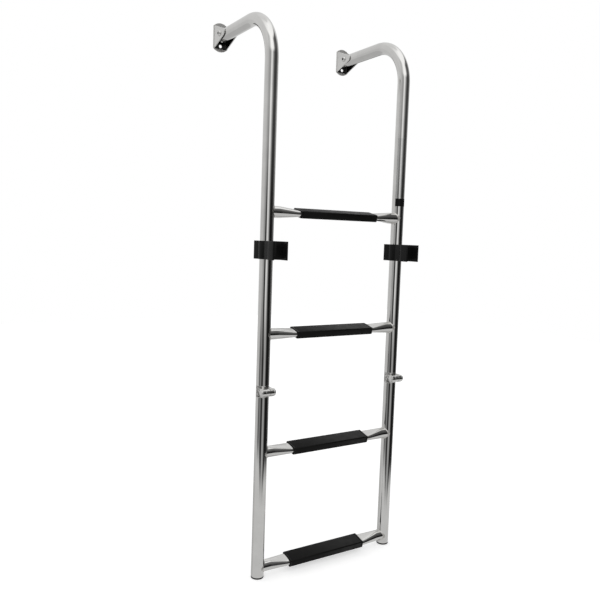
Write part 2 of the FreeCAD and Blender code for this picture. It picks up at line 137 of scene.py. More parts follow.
def smoothstep(tree, value, low, high, start=0.0):
    """Eases from start to 1 while the value goes from low to high."""
    made = node(tree, "ShaderNodeMapRange", interpolation_type="SMOOTHSTEP")
    made.inputs["From Min"].default_value = low
    made.inputs["From Max"].default_value = high
    made.inputs["To Min"].default_value = start
    tree.links.new(value, made.inputs["Value"])
    return made.outputs["Result"]


def mix(tree, share, a, b):
    """Colour a where the share is 0 and b where it is 1. b is a socket or a colour."""
    made = node(tree, "ShaderNodeMix", data_type="RGBA")
    first, second = made.inputs[6], made.inputs[7]
    tree.links.new(share, made.inputs["Factor"])
    tree.links.new(a, first)
    if isinstance(b, tuple):
        second.default_value = (*b, 1.0)
    else:
        tree.links.new(b, second)
    return made.outputs[2]


def sums(tree, operation, a, b=None):
    """One sum of two values, each a number or a socket."""
    made = node(tree, "ShaderNodeMath", operation=operation)
    for socket, value in zip(made.inputs, (a, b)):
        if isinstance(value, (int, float)):
            socket.default_value = value
        elif value is not None:
            tree.links.new(value, socket)
    return made.outputs[0]


def steel(name, colour, rough, wave, wave_scale, stretch=(1, 1, 1), shade_and_rough_parts=None):
    """Bright steel: a range of roughness, and waves of a height in millimetres.
    Its last argument, a function of (tree, shader), if given, paints shade into some parts
    and leaves others rough or stained."""
    mat, tree, shader = new_material(name)
    shader.inputs["Metallic"].default_value = 1.0
    darker = tuple(c * 0.96 for c in colour)
    lighter = tuple(min(1.0, c * 1.03) for c in colour)
    spots = noise(tree, scale=35.0, detail=4.0)
    tree.links.new(ramp(tree, spots, [(0.35, darker), (0.65, lighter)]),
                   shader.inputs["Base Color"])
    smear = noise(tree, scale=60.0, detail=5.0, stretch=stretch)
    tree.links.new(ramp(tree, smear, [(0.3, rough[0]), (0.7, rough[1])]),
                   shader.inputs["Roughness"])
    ripple = noise(tree, scale=wave_scale, stretch=stretch)
    bump(tree, shader, ripple, strength=1.0, distance=wave)
    if shade_and_rough_parts:
        shade_and_rough_parts(tree, shader)
    return mat


def channel_shade_and_brushed_ends(tree, shader):
    """Painted shade: the bracket's base colour is darkened to grey between its ears, where
    shade falls, and its two ends are brushed.
    """
    half_width, front_y = 13.15, -2.3
    middle_z, half_height = -1.2, 22.2
    # The grey is painted shade for the inside of the bracket.
    shade_grey, brushed_rough = (0.13, 0.13, 0.13), 0.75
    x, y, z = split_xyz(tree, own_place(tree))
    middle = SPACING / 2 * MM
    aside = sums(tree, "ABSOLUTE", sums(tree, "SUBTRACT", x, middle))
    from_rail = sums(tree, "ABSOLUTE", sums(tree, "SUBTRACT", aside, middle))
    between = sums(tree, "LESS_THAN", from_rail, half_width * MM)
    front = sums(tree, "LESS_THAN", y, front_y * MM)
    level = sums(tree, "ABSOLUTE", sums(tree, "SUBTRACT", z, middle_z * MM))
    below = sums(tree, "LESS_THAN", level, half_height * MM)
    shaded_channel = sums(tree, "MULTIPLY", sums(tree, "MULTIPLY", between, front), below)
    tone = shader.inputs["Base Color"].links[0].from_socket
    # Painted shade: the grey replaces the steel's tone in the channel between the ears.
    tree.links.new(mix(tree, shaded_channel, tone, shade_grey), shader.inputs["Base Color"])
    ends = sums(tree, "GREATER_THAN", level, half_height * MM)
    smear = shader.inputs["Roughness"].links[0].from_socket
    brushed = sums(tree, "MULTIPLY", ends, brushed_rough)
    tree.links.new(sums(tree, "MAXIMUM", smear, brushed), shader.inputs["Roughness"])


def rough_collar(tree, shader):
    """The casting is smooth on its knuckle, and left rough and stained on its collar."""
    smooth_y, stained_y, rough_y = -240.0, -239.0, -235.0
    stain, knuckle_relief = (0.22, 0.21, 0.2), 0.03
    y = split_xyz(tree, own_place(tree))["Y"]
    pits = noise(tree, scale=330.0, detail=5.0)
    shade = ramp(tree, pits, [(0.4, 1.0), (0.6, 0.0)])
    collar = sums(tree, "GREATER_THAN", y, stained_y * MM)
    stained = sums(tree, "MULTIPLY", shade, collar)
    tone = shader.inputs["Base Color"].links[0].from_socket
    tree.links.new(mix(tree, stained, tone, stain), shader.inputs["Base Color"])
    relief = shader.inputs["Normal"].links[0].from_node
    tree.links.new(smoothstep(tree, y, smooth_y * MM, rough_y * MM, knuckle_relief),
                   relief.inputs["Strength"])


POLISHED = (0.735, 0.73, 0.715)
SATIN = (0.72, 0.715, 0.70)
TUBE = steel("polished_tube", POLISHED, rough=(0.03, 0.06), wave=0.012,
             wave_scale=40.0, stretch=(1, 1, 0.25))
RUNG = steel("polished_rung", POLISHED, rough=(0.05, 0.1), wave=0.02,
             wave_scale=45.0, stretch=(0.3, 1, 1))
# The pressed sheet carries painted shade between the bracket's ears.
SHEET = steel("pressed_sheet", SATIN, rough=(0.12, 0.2), wave=0.02,
              wave_scale=60.0, shade_and_rough_parts=channel_shade_and_brushed_ends)
FILM = steel("blank_label", (0.63, 0.63, 0.62), rough=(0.12, 0.18), wave=0.01,
             wave_scale=60.0)
CAST = steel("tumbled_casting", SATIN, rough=(0.03, 0.07), wave=0.3,
             wave_scale=430.0, shade_and_rough_parts=rough_collar)
BRIGHT = steel("bright_fastener", (0.74, 0.735, 0.72), rough=(0.06, 0.14), wave=0.02,
               wave_scale=120.0)
# Painted shade: near-black steel for the inside of the bolt heads' hexagon sockets, where
# shade falls.
SOCKET_SHADE = steel("painted_socket_shade", (0.06, 0.06, 0.06), rough=(0.3, 0.4), wave=0.02,
               wave_scale=120.0)
WELD = steel("weld_bead", (0.66, 0.645, 0.62), rough=(0.14, 0.3), wave=0.08,
             wave_scale=180.0)


def black(name, colour, rough, grain, grain_scale, depth, gloss):
    """Black plastic: its grain has a strength, a scale and a depth in millimetres."""
    mat, tree, shader = new_material(name)
    darker = tuple(c * 0.8 for c in colour)
    lighter = tuple(c * 1.25 for c in colour)
    blotch = noise(tree, scale=30.0, detail=4.0)
    tree.links.new(ramp(tree, blotch, [(0.3, darker), (0.7, lighter)]),
                   shader.inputs["Base Color"])
    worn = noise(tree, scale=90.0, detail=5.0)
    tree.links.new(ramp(tree, worn, [(0.3, rough[0]), (0.7, rough[1])]),
                   shader.inputs["Roughness"])
    cells = node(tree, "ShaderNodeTexVoronoi", Scale=grain_scale, feature="SMOOTH_F1")
    tree.links.new(own_place(tree), cells.inputs["Vector"])
    bump(tree, shader, cells.outputs["Distance"], grain, depth)
    shader.inputs["Specular IOR Level"].default_value = gloss
    return mat


PAD = black("grained_pad", (0.0035, 0.0035, 0.0032), rough=(0.38, 0.5), grain=0.5,
            grain_scale=1100.0, depth=0.1, gloss=0.14)
MOULDED = black("moulded_nylon", (0.008, 0.008, 0.008), rough=(0.2, 0.3), grain=0.3,
                grain_scale=900.0, depth=0.03, gloss=0.11)


# ---------------------------------------------------------------- mesh helpers
def finish_piece(obj, mat, body, replaces=None, sharp=35.0):
    """Material, shading that is smooth below the angle sharp, a parent empty for its body,
    and the CAD part that it replaces hidden.
    """
    obj.data.materials.clear()
    obj.data.materials.append(mat)
    for face in obj.data.polygons:
        face.use_smooth = True
    obj.data.set_sharp_from_angle(angle=math.radians(sharp))
    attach(obj, body)
    if replaces:
        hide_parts(replaces)


def new_object(name, data):
    obj = bpy.data.objects.new(name, data)
    bpy.context.scene.collection.objects.link(obj)
    return obj


def close_seams(data):
    """Merges double points, and turns every face outward."""
    mesh = bmesh.new()
    mesh.from_mesh(data)
    bmesh.ops.remove_doubles(mesh, verts=mesh.verts, dist=1e-6)
    bmesh.ops.recalc_face_normals(mesh, faces=mesh.faces)
    mesh.to_mesh(data)
    mesh.free()


def mesh_object(name, verts, faces):
    """A new object from points in millimetres."""
    data = bpy.data.meshes.new(name)
    data.from_pydata([Vector(v) * MM for v in verts], [], faces)
    data.update()
    close_seams(data)
    return new_object(name, data)


def skin(name, rings, closed=False, cap_low=True, cap_high=True):
    """Joins rings of equally many points into a tube; closed joins last to first."""
    count = len(rings[0])
    verts = [p for ring in rings for p in ring]
    faces = []
    last = len(rings) if closed else len(rings) - 1
    for r in range(last):
        a = r * count
        b = ((r + 1) % len(rings)) * count
        for i in range(count):
            j = (i + 1) % count
            faces.append((a + i, a + j, b + j, b + i))
    if not closed and cap_low:
        faces.append(tuple(reversed(range(count))))
    if not closed and cap_high:
        faces.append(tuple(range(len(verts) - count, len(verts))))
    return mesh_object(name, verts, faces)


def lathe(name, profile, origin, axis, steps=64):
    """Turns (radius, distance) pairs about an axis; a radius of 0 closes an end."""
    axis = Vector(axis)
    side = axis.orthogonal().normalized()
    other = axis.cross(side)
    rings = []
    for radius, along in profile:
        ring = []
        for i in range(steps):
            turn = 2 * math.pi * i / steps
            ring.append(Vector(origin) + axis * along
                        + (side * math.cos(turn) + other * math.sin(turn)) * radius)
        rings.append(ring)
    return skin(name, rings, cap_low=profile[0][0] > 0, cap_high=profile[-1][0] > 0)


def arc(cx, cy, radius, start, end, steps):
    """Points of an arc, angles in degrees."""
    points = []
    for i in range(steps + 1):
        turn = math.radians(start + (end - start) * i / steps)
        points.append((cx + radius * math.cos(turn), cy + radius * math.sin(turn)))
    return points


def evaluated_mesh(obj):
    """A copy of the object's mesh with its curve or modifiers worked out."""
    bpy.context.view_layer.update()
    ready = bpy.context.evaluated_depsgraph_get()
    return bpy.data.meshes.new_from_object(obj.evaluated_get(ready))


def flat_plate(name, outlines, thickness, bevel, matrix):
    """A plate with rounded edges: the outlines are closed, holes included."""
    curve = bpy.data.curves.new(name, "CURVE")
    curve.dimensions = "2D"
    curve.fill_mode = "BOTH"
    curve.extrude = (thickness / 2 - bevel) * MM
    curve.bevel_depth = bevel * MM
    curve.bevel_resolution = 2
    curve.offset = -bevel * MM
    for outline in outlines:
        spline = curve.splines.new("POLY")
        spline.points.add(len(outline) - 1)
        for point, (u, v) in zip(spline.points, outline):
            point.co = (u * MM, v * MM, 0, 1)
        spline.use_cyclic_u = True
    holder = new_object(name + "_curve", curve)
    data = evaluated_mesh(holder)
    bpy.data.objects.remove(holder)
    data.name = name
    data.transform(matrix)
    close_seams(data)
    return new_object(name, data)


def flatten(obj, directions):
    """Keeps the shading of a pressed or moulded piece's flat faces truly flat. They
    face along one of the directions and are larger than the facets of its curves."""
    smallest = 1.5 * MM * MM
    for face in obj.data.polygons:
        level = max(abs(face.normal.dot(Vector(way))) for way in directions)
        if level > 0.9999 and face.area > smallest:
            face.use_smooth = False


def axes(u, v, w, origin):
    """A matrix that takes local x, y, z to the directions u, v, w at origin (mm)."""
    made = Matrix((u, v, w)).transposed().to_4x4()
    made.translation = Vector(origin) * MM
    return made


def join(name, objs):
    """Joins pieces into one new object, and removes them."""
    target = bmesh.new()
    for obj in objs:
        target.from_mesh(obj.data)
    data = bpy.data.meshes.new(name)
    target.to_mesh(data)
    target.free()
    for obj in objs:
        bpy.data.objects.remove(obj)
    return new_object(name, data)


# ---------------------------------------------------------------- rails
AROUND = 96


def tube_ring(point, along, radius):
    """A ring about a point of a path in the YZ plane."""
    across = Vector((1, 0, 0))
    out = along.cross(across)
    ring = []
    for i in range(AROUND):
        turn = 2 * math.pi * i / AROUND
        ring.append(point + (across * math.cos(turn) + out * math.sin(turn)) * radius)
    return ring


def hook_path(x, low, nose):
    """Centreline points and directions from the fold hinge up and over the hook."""
    path = []
    rail_steps, bend_steps, arm_steps = 8, 40, 3
    for i in range(rail_steps):
        z = low + (-BEND_R - low) * i / rail_steps
        path.append((Vector((x, RAIL_Y, z)), Vector((0, 0, 1))))
    centre = Vector((x, RAIL_Y + BEND_R, -BEND_R))
    for i in range(bend_steps + 1):
        turn = math.radians(90 * i / bend_steps)
        path.append((centre + Vector((0, -math.cos(turn), math.sin(turn))) * BEND_R,
                     Vector((0, math.sin(turn), math.cos(turn)))))
    for i in range(1, arm_steps + 1):
        y = RAIL_Y + BEND_R + (nose - RAIL_Y - BEND_R) * i / arm_steps
        path.append((Vector((x, y, 0)), Vector((0, 1, 0))))
    return path


def rounded_tube(name, path):
    """A tube along a path, with eased edges and a deep bore at both ends."""
    lip, bore = 0.5, TUBE_R - TUBE_WALL
    low_depth, high_depth = 20.0, 40.0
    # Distance from the end and radius, from the mouth of the bore to the full tube.
    edge = [(0.0, bore), (0.0, TUBE_R - lip), (lip * 0.3, TUBE_R - lip * 0.3),
            (lip, TUBE_R), (lip * 1.6, TUBE_R)]
    start, start_way = path[0]
    end, end_way = path[-1]
    rings = [tube_ring(start + start_way * low_depth, start_way, bore)]
    rings += [tube_ring(start + start_way * depth, start_way, radius)
              for depth, radius in edge]
    rings += [tube_ring(point, way, TUBE_R) for point, way in path[1:-1]]
    rings += [tube_ring(end - end_way * depth, end_way, radius)
              for depth, radius in reversed(edge)]
    rings.append(tube_ring(end - end_way * high_depth, end_way, bore))
    return skin(name, rings)


for side, x in SIDES.items():
    upper = rounded_tube(side + "_upper_tube", hook_path(x, FOLD_Z + COLLAR, NOSE_Y))
    finish_piece(upper, TUBE, "upper_section", side + "_upper_rail")
    bottom, top, steps = FOOT_Z + FOOT_FLANGE, FOLD_Z - COLLAR, 6
    straight = [(Vector((x, RAIL_Y, bottom + (top - bottom) * i / steps)),
                 Vector((0, 0, 1))) for i in range(steps + 1)]
    lower = rounded_tube(side + "_lower_tube", straight)
    finish_piece(lower, TUBE, "lower_section", side + "_lower_rail")


def wrap(name, x, low, high, start, end, base, thick):
    """A thin layer round a rail, angles from the outboard face toward high X."""
    rings = []
    ease, steps = min(0.6, thick), 24
    turns = [start + (end - start) * i / steps for i in range(steps + 1)]
    for z, grow in ((low, -ease), (low + ease * 0.5, -ease * 0.2), (low + ease, 0.0),
                    (low + ease * 1.5, 0.0), (high - ease * 1.5, 0.0), (high - ease, 0.0),
                    (high - ease * 0.5, -ease * 0.2), (high, -ease)):
        ring = []
        for level, order in ((base + thick + grow * 0.5, turns), (base, turns[::-1])):
            for turn in order:
                angle = math.radians(turn)
                ring.append(Vector((x + level * math.sin(angle),
                                    RAIL_Y - level * math.cos(angle), z)))
        rings.append(ring)
    return skin(name, rings)


# A blank label and a small black band on the high X rail.
label = wrap("right_rail_label", SPACING, low=-320.0, high=-198.0, start=-68.0, end=6.0,
             base=TUBE_R - 0.05, thick=0.13)
finish_piece(label, FILM, "upper_section")
band = wrap("right_rail_band", SPACING, low=-337.0, high=-321.0, start=-67.0, end=38.0,
            base=TUBE_R - 0.1, thick=0.7)
finish_piece(band, MOULDED, "upper_section")


# ---------------------------------------------------------------- rungs
def tilted(number, x, y, z):
    """A point given about a rung's own axis, in the row frame."""
    c, s = math.cos(TREAD_TILT), math.sin(TREAD_TILT)
    return Vector((x, RAIL_Y + y * c - z * s, RUNG_LEVELS[number] + y * s + z * c))


def rung_ring(number, x, flat):
    """Section of a rung: round at flat 0, pressed at flat 1."""
    half = RUNG_R + (FLAT_HALF - RUNG_R) * flat
    reach = (FLAT_REACH - FLAT_HALF) * flat
    steepness = 2.6
    ring = []
    for i in range(AROUND):
        turn = 2 * math.pi * i / AROUND
        c = math.cos(turn)
        spread = max(-1.0, min(1.0, c * steepness))
        ring.append(tilted(number, x, half * c + reach * spread, half * math.sin(turn)))
    return ring


def eased(t):
    """0 to 1 with short easing at both ends and a straight middle."""
    ease = 0.12
    if t <= 0:
        return 0.0
    if t >= 1:
        return 1.0
    slope = 1 / (1 - ease)
    if t < ease:
        return slope * t * t / (2 * ease)
    if t > 1 - ease:
        return 1 - slope * (1 - t) ** 2 / (2 * ease)
    return slope * (t - ease / 2)


for number, body in RUNG_BODY.items():
    start, round_end, flat_start, steps = 5.0, 21.0, 63.0, 24
    stations = [(start, 0.0), (round_end, 0.0)]
    for i in range(1, steps + 1):
        stations.append((round_end + (flat_start - round_end) * i / steps,
                         eased(i / steps)))
    stations += [(SPACING - px, flat) for px, flat in reversed(stations)]
    bar = skin("rung_%d_tube" % number,
               [rung_ring(number, px, flat) for px, flat in stations])
    finish_piece(bar, RUNG, body, "rung_%d" % number)


def weld(name, number, x, inward):
    """A rippled fillet round one end of a rung, sunk a little into both tubes."""
    steps, ripples, sunk = 240, 22, 0.15
    bore = RUNG_R - 1
    rings = []
    for i in range(steps):
        turn = 2 * math.pi * i / steps
        ripple = abs(math.sin(turn * ripples + 0.6 * math.sin(turn * 3)))
        leg = 1.5 + 0.2 * math.sin(turn * 5 + number) + 0.2 * ripple
        ring = []
        for share in (0.0, 0.2, 0.4, 0.6, 0.8, 1.0):
            swell = ripple * math.sin(math.pi * share)
            out = RUNG_R + leg * (1 - share) - sunk + 0.18 * swell
            y, z = out * math.sin(turn), out * math.cos(turn)
            rail = math.sqrt(max(0.0, TUBE_R ** 2 - min(y * y, (TUBE_R - 0.4) ** 2)))
            gap = leg * share - sunk + 0.12 * swell
            ring.append(Vector((x + inward * (rail + gap), RAIL_Y + y,
                                RUNG_LEVELS[number] + z)))
        y, z = bore * math.sin(turn), bore * math.cos(turn)
        rail = math.sqrt(TUBE_R ** 2 - y * y)
        for depth in (1, -1):
            ring.append(Vector((x + inward * (rail + depth), RAIL_Y + y,
                                RUNG_LEVELS[number] + z)))
        rings.append(ring)
    return skin(name, rings, closed=True)


for number in RUNG_LEVELS:
    for side, x in SIDES.items():
        inward = 1 if side == "left" else -1
        bead = weld("rung_%d_%s_weld" % (number, side), number, x, inward)
        finish_piece(bead, WELD, RUNG_BODY[number], sharp=60.0)


# ---------------------------------------------------------------- treads
def rounded_box_ring(number, x, half_y, half_z, corner):
    ring = []
    for cy, cz, start in ((1, 1, 0), (-1, 1, 90), (-1, -1, 180), (1, -1, 270)):
        for u, v in arc(cy * (half_y - corner), cz * (half_z - corner), corner,
                        start, start + 90, 6):
            ring.append(tilted(number, x, u, v))
    return ring


def tread(number):
    """A sleeve with rounded corners and a small groove near each end."""
    half_y, half_z, corner, least_corner = 15.8, 7.2, 2.2, 0.4
    # Distance from the end, and how far the section is smaller there.
    end = [(0.0, 2.2), (0.0, 0.9), (0.2, 0.35), (0.9, 0.0), (3.6, 0.0), (3.9, 0.32),
           (4.6, 0.32), (4.9, 0.0)]
    stations = [(TREAD_START + along, inset) for along, inset in end]
    stations += [(TREAD_END - along, inset) for along, inset in reversed(end)]
    rings = [rounded_box_ring(number, px, half_y - inset, half_z - inset,
                              max(least_corner, corner - inset))
             for px, inset in stations]
    return skin("tread_%d_pad" % number, rings)


for number, body in RUNG_BODY.items():
    finish_piece(tread(number), PAD, body, "tread_%d" % number,
                 sharp=50.0)


# ---------------------------------------------------------------- foot caps
for side, x in SIDES.items():
    plug_r, plug_top = TUBE_R - TUBE_WALL - 0.1, 21.0
    dish = [(0.0, 0.9), (TUBE_R - 5.0, 0.9), (TUBE_R - 4.0, 0.0)]
    rim = [(TUBE_R - 0.7, 0.0), (TUBE_R - 0.35, 0.08), (TUBE_R - 0.1, 0.25),
           (TUBE_R - 0.02, 0.5), (TUBE_R - 0.02, FOOT_FLANGE - 0.2),
           (TUBE_R - 0.2, FOOT_FLANGE - 0.02), (TUBE_R - 1.8, FOOT_FLANGE),
           (plug_r, FOOT_FLANGE), (plug_r, plug_top - 0.5), (TUBE_R - 2.0, plug_top),
           (0.0, plug_top)]
    cap = lathe(side + "_foot_plug", dish + rim, (x, RAIL_Y, FOOT_Z), (0, 0, 1), 96)
    finish_piece(cap, MOULDED, "lower_section", side + "_foot_cap")


# ---------------------------------------------------------------- clips
def mirror_x(points):
    return [(-u, v) for u, v in reversed(points)]


def clip_outline():
    """Both jaws with the web between them, as one closed outline: the outer wall and
    the rear bore on the high X side, then the low X side, then the front bore."""
    wall, lip_r, waist = 2.5, 1.7, 10.0
    front_in, rear_in = TUBE_R + 0.3, TUBE_R
    front_out, rear_out = front_in + wall, rear_in + wall
    rise = math.degrees(math.acos(waist / front_out))
    fall = math.degrees(math.acos(waist / rear_out))
    outer = arc(front_in + wall / 2, FOLDED_Y - 16.0, lip_r, -180, 0, 10)
    outer += arc(0, FOLDED_Y, front_out, 0, rise - 4, 12)
    outer += arc(0, RAIL_Y, rear_out, 4 - fall, 34, 16)
    outer += [(12.75, RAIL_Y + 9.4), (13.1, RAIL_Y + 11.0)]
    outer += arc(13.8, RAIL_Y + 20.0, lip_r, -13, 167, 12)
    rear = [(9.9, RAIL_Y + 8.8)] + arc(0, RAIL_Y, rear_in, 38.5, -90, 28)
    front = arc(0, FOLDED_Y, front_in, 90, 0, 22)
    return (outer + rear + mirror_x(rear)[1:] + mirror_x(outer)
            + mirror_x(front)[:-1] + front)


for side, x in SIDES.items():
    moulding = flat_plate(side + "_clip_body", [clip_outline()], CLIP_HEIGHT, 0.7,
                          axes((1, 0, 0), (0, 1, 0), (0, 0, 1), (x, 0, CLIP_Z)))
    finish_piece(moulding, MOULDED, "upper_section", side + "_clip",
                 sharp=40.0)
    flatten(moulding, [(0, 0, 1)])


# ---------------------------------------------------------------- brackets
def circle(cx, cy, radius, steps=40):
    return arc(cx, cy, radius, 0, 360, steps)[:-1]


def ear_outline():
    """The ear in (distance to the boat from the bolt, height)."""
    root = -2.4 - BOLT_Y
    tip, nose, half_root = -22.0, 7.0, 23.0
    base = root - tip - nose
    slant = math.hypot(base, half_root)
    angle = math.degrees(math.atan2(half_root, base) + math.acos(nose / slant))
    points = arc(tip + nose, 0, nose, angle, 360 - angle, 24)
    return points + [(root, -half_root), (root, half_root)]


def plate_outline():
    """A plate with straight sides and two rounded ends."""
    half_w, half_h, end = 16.0, 29.0, 22.0
    spread = math.degrees(math.asin(half_w / end))
    points = arc(0, half_h - end, end, 90 - spread, 90 + spread, 24)
    return points + arc(0, end - half_h, end, 270 - spread, 270 + spread, 24)


def fillet(name, x, face, way, radius):
    """The bend between the plate and a face of an ear that looks along way, 1 or -1."""
    half_height, sunk, steps = 22.6, 0.4, 20
    rings = []
    for i in range(steps + 1):
        z = -half_height + 2 * half_height * i / steps
        ring = [Vector((x + face - way * sunk, sunk - PLATE_THICK, z))]
        for u, v in arc(face + way * radius, -PLATE_THICK - radius, radius,
                        90, 180 if way > 0 else 0, 6):
            ring.append(Vector((x + u, v, z)))
        ring.append(Vector((x + face - way * sunk, -PLATE_THICK - radius, z)))
        rings.append(ring)
    return skin(name, rings)


def bracket_sheet(side, x):
    screws = [circle(0, SCREW_Z, SCREW_R), circle(0, -SCREW_Z, SCREW_R)]
    parts = [flat_plate(side + "_plate", [plate_outline()] + screws, PLATE_THICK, 0.45,
                        axes((1, 0, 0), (0, 0, 1), (0, -1, 0), (x, -PLATE_THICK / 2, 0)))]
    for outward in (-1, 1):
        place = outward * EAR_MIDDLE
        parts.append(flat_plate(
            side + "_ear", [ear_outline(), circle(0, 0, BOLT_R + 0.05)], EAR_THICK, 0.4,
            axes((0, 1, 0), (0, 0, 1), (1, 0, 0), (x + place, BOLT_Y, 0))))
        for way, radius in ((outward, 1.0), (-outward, 1.6)):
            face = place + way * EAR_THICK / 2
            parts.append(fillet(side + "_fillet", x, face, way, radius))
    return join(side + "_bracket_sheet", parts)


for side, x in SIDES.items():
    sheet = bracket_sheet(side, x)
    finish_piece(sheet, SHEET, "brackets", side + "_bracket")
    flatten(sheet, [(1, 0, 0), (0, 1, 0)])


# ---------------------------------------------------------------- fasteners
def hex_radius(turn, apothem):
    """Distance from a hexagon's centre to its edge in the direction turn."""
    step = math.pi / 3
    return apothem / math.cos((turn + step / 2) % step - step / 2)


def turns_of(steps):
    return [2 * math.pi * i / steps for i in range(steps)]


def hex_nut(name, origin, apothem, height, bore, chamfer_r):
    """A nut along +X from origin, chamfered outside chamfer_r on both faces."""
    slope, ease = math.tan(math.radians(30)), 0.4

    def ring(radius_of, height_of):
        made = []
        for turn in turns_of(96):
            radius = radius_of(turn)
            made.append(Vector(origin) + Vector((height_of(radius), radius * math.cos(turn),
                                                 radius * math.sin(turn))))
        return made

    def edge(turn):
        return hex_radius(turn, apothem)

    def drop(radius):
        return max(0.0, radius - chamfer_r) * slope

    rings = [
        ring(lambda t: bore, lambda r: ease),
        ring(lambda t: bore + ease, lambda r: 0.0),
        ring(lambda t: chamfer_r, lambda r: 0.0),
        ring(edge, drop),
        ring(edge, lambda r: height - drop(r)),
        ring(lambda t: chamfer_r, lambda r: height),
        ring(lambda t: bore + ease, lambda r: height),
        ring(lambda t: bore, lambda r: height - ease),
    ]
    return skin(name, rings, closed=True)


def threaded_end(name, origin, radius, length, pitch):
    """A bolt end with a rolled thread along +X, chamfered at its tip."""
    around, per_turn, chamfer = 48, 8, 0.8
    rings = []
    count = int(length / pitch * per_turn)
    for k in range(count + 1):
        along = length * k / count
        ring = []
        for i, turn in enumerate(turns_of(around)):
            phase = (along / pitch - i / around) % 1.0
            depth = 0.5 * pitch * (1 - abs(2 * phase - 1))
            tip = radius - max(0.0, along - length + chamfer)
            r = min(radius - depth, tip)
            ring.append(Vector(origin) + Vector((along, r * math.cos(turn),
                                                 r * math.sin(turn))))
        rings.append(ring)
    return skin(name, rings)


def socket_head(name, x):
    """A button head on the low X side, with a hexagon socket."""
    outer_r, height, socket_apothem, depth = 5.9, 3.2, 2.5, 2.0

    def ring(radius_of, along):
        return [Vector((x - along, BOLT_Y + radius_of(t) * math.cos(t),
                        radius_of(t) * math.sin(t))) for t in turns_of(96)]

    def wall(turn):
        return hex_radius(turn, socket_apothem)

    # Radius and height, up the rim and over the dome.
    dome = [(outer_r - 0.2, 0.0), (outer_r, 0.25), (outer_r, 0.55), (5.75, 1.0),
            (5.4, 1.6), (4.9, 2.2), (4.25, 2.75), (3.6, 3.08), (3.1, height)]
    rings = [ring(lambda t, r=radius: r, along) for radius, along in dome]
    rings.append(ring(lambda t: wall(t) + 0.12, height - 0.02))
    rings.append(ring(wall, height - 0.2))
    rings.append(ring(wall, height - depth))
    rings.append(ring(lambda t: 0.6, height - depth - 0.5))
    return skin(name, rings)


for side, x in SIDES.items():
    ear_face = x - EAR_FACE
    shank_end, tail_length, pitch = 30.2, 7.0, 1.0
    head = socket_head(side + "_bolt_head", ear_face)
    shank = lathe(side + "_bolt_shank", [(BOLT_R, 0.0), (BOLT_R, shank_end)],
                  (ear_face, BOLT_Y, 0), (1, 0, 0), 48)
    tail = threaded_end(side + "_bolt_tail", (x + EAR_FACE, BOLT_Y, 0), BOLT_R,
                        tail_length, pitch)
    bolt = join(side + "_pivot_bolt", [head, shank, tail])
    finish_piece(bolt, BRIGHT, "brackets", side + "_bracket_bolt", sharp=30.0)
    # The socket's walls and floor get the painted shade.
    bolt.data.materials.append(SOCKET_SHADE)
    for face in bolt.data.polygons:
        u, v, w = face.center / MM
        in_socket = math.hypot(v - BOLT_Y, w) < 2.95
        if in_socket and -3.15 < u - ear_face < -0.5:
            face.material_index = 1
    nut = hex_nut(side + "_pivot_nut", (x + EAR_FACE, BOLT_Y, 0), apothem=5.0, height=5.0,
                  bore=BOLT_R + 0.05, chamfer_r=4.75)
    finish_piece(nut, BRIGHT, "brackets", side + "_bracket_nut", sharp=25.0)

    pin_end = 29.5
    pin_profile = [(0.0, -1.2), (2.0, -1.45), (4.0, -1.3), (5.3, -1.0), (5.9, -0.5),
                   (6.0, 0.0), (BOLT_R, 0.0), (BOLT_R, pin_end), (0.0, pin_end)]
    pin = lathe(side + "_hinge_pin", pin_profile, (x - KNUCKLE_HALF, PIN_Y, FOLD_Z),
                (1, 0, 0))
    finish_piece(pin, BRIGHT, "upper_section", side + "_fold_pin")
    cap_profile = [(6.2, 0.0), (6.8, 0.2), (7.0, 0.6), (7.0, 2.0), (6.85, 2.7),
                   (6.4, 3.25), (5.6, 3.65), (4.4, 3.9), (2.4, 4.0), (0.0, 4.0)]
    cap = lathe(side + "_hinge_cap", cap_profile, (x + KNUCKLE_HALF, PIN_Y, FOLD_Z),
                (1, 0, 0), 72)
    finish_piece(cap, BRIGHT, "upper_section", side + "_fold_nut")


# ---------------------------------------------------------------- hinge castings
def true_round(point, x, knuckle, half):
    """Moves a vertex near the knuckle or the collar onto its exact cylinder."""
    near_knuckle, near_collar, margin = 0.4, 0.35, 0.8
    u, v, w = point.co.x / MM - x, point.co.y / MM, point.co.z / MM
    radius = math.hypot(v - PIN_Y, w - FOLD_Z)
    if abs(u) < half - 0.5 and abs(radius - knuckle) < near_knuckle:
        share = knuckle / radius
        point.co.y = (PIN_Y + (v - PIN_Y) * share) * MM
        point.co.z = (FOLD_Z + (w - FOLD_Z) * share) * MM
        return
    radius = math.hypot(u, v - RAIL_Y)
    on_collar = margin < abs(w - FOLD_Z) < COLLAR - margin
    if abs(radius - TUBE_R) < near_collar and on_collar:
        share = TUBE_R / radius
        point.co.x = (x + u * share) * MM
        point.co.y = (RAIL_Y + (v - RAIL_Y) * share) * MM


